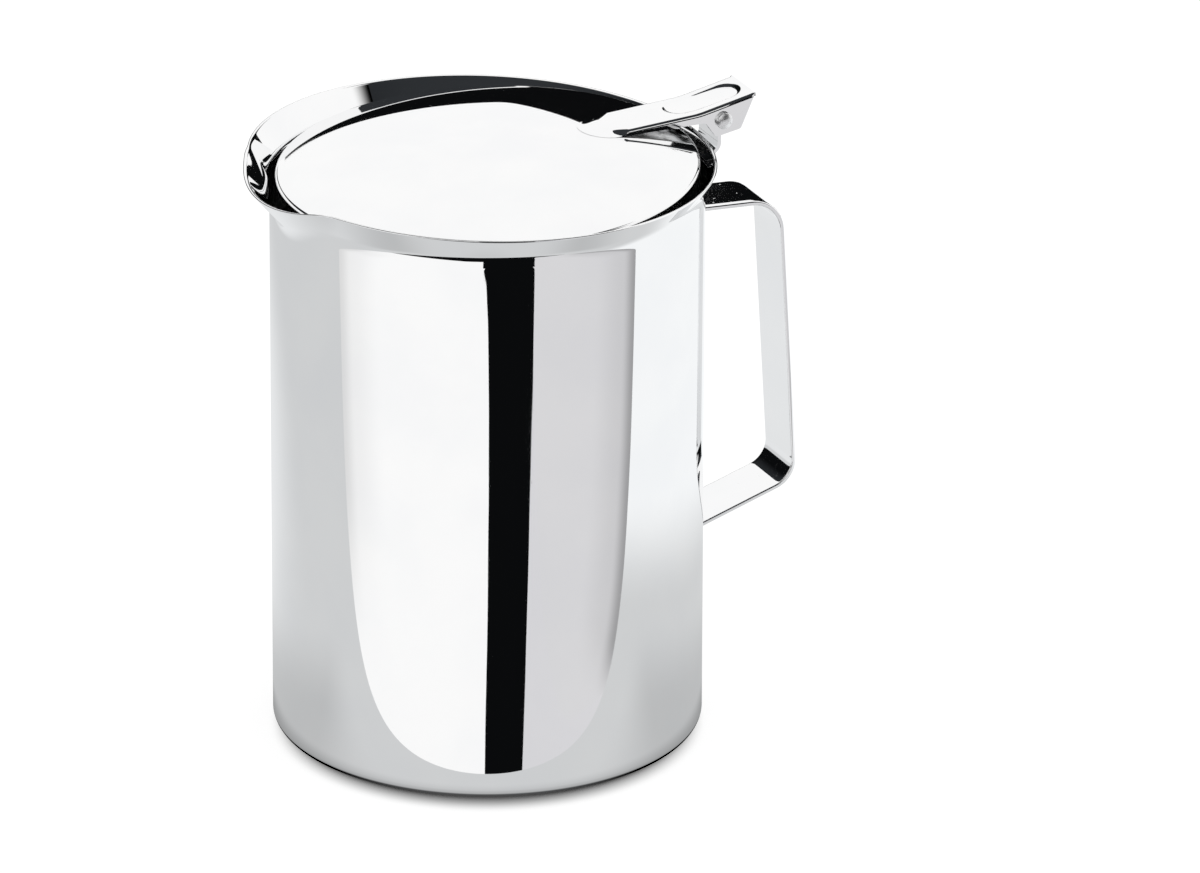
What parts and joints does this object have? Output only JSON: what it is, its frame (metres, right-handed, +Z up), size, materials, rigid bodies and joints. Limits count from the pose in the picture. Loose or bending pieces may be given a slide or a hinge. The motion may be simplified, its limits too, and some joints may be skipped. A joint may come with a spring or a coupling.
{
  "type": "water pitcher",
  "caption": "Polished steel pitcher with a straight round body, flared lip, pressed beak, bent strip handle and a domed lid on a riveted hinge, opened with a thumb lever.",
  "frame": {"origin": "centre of the standing ring under the base", "axes": "+Z up along the body axis, +X towards the handle and the hinge, -X towards the beak"},
  "size_m": [0.1608, 0.1294, 0.1757],
  "materials": {
    "body_steel": "mirror-polished stainless steel",
    "handle_steel": "mirror-polished stainless steel strip",
    "lid_steel": "mirror-polished stainless steel",
    "hinge_steel": "polished pressed stainless steel",
    "rivet_steel": "polished rivet head, slightly worn"
  },
  "bodies": {
    "pitcher": {"body": "body_steel", "handle": "handle_steel", "hinge_bracket": "hinge_steel"},
    "lid": {"lid": "lid_steel", "lid_arm": "hinge_steel", "hinge_pin": "rivet_steel"}
  },
  "joints": [
    {"name": "lid_hinge", "type": "hinge", "parent": "pitcher", "child": "lid", "pos_m": [0.0685, 0, 0.169], "axis": [0, 1, 0], "range_deg": [0, 110]}
  ]
}
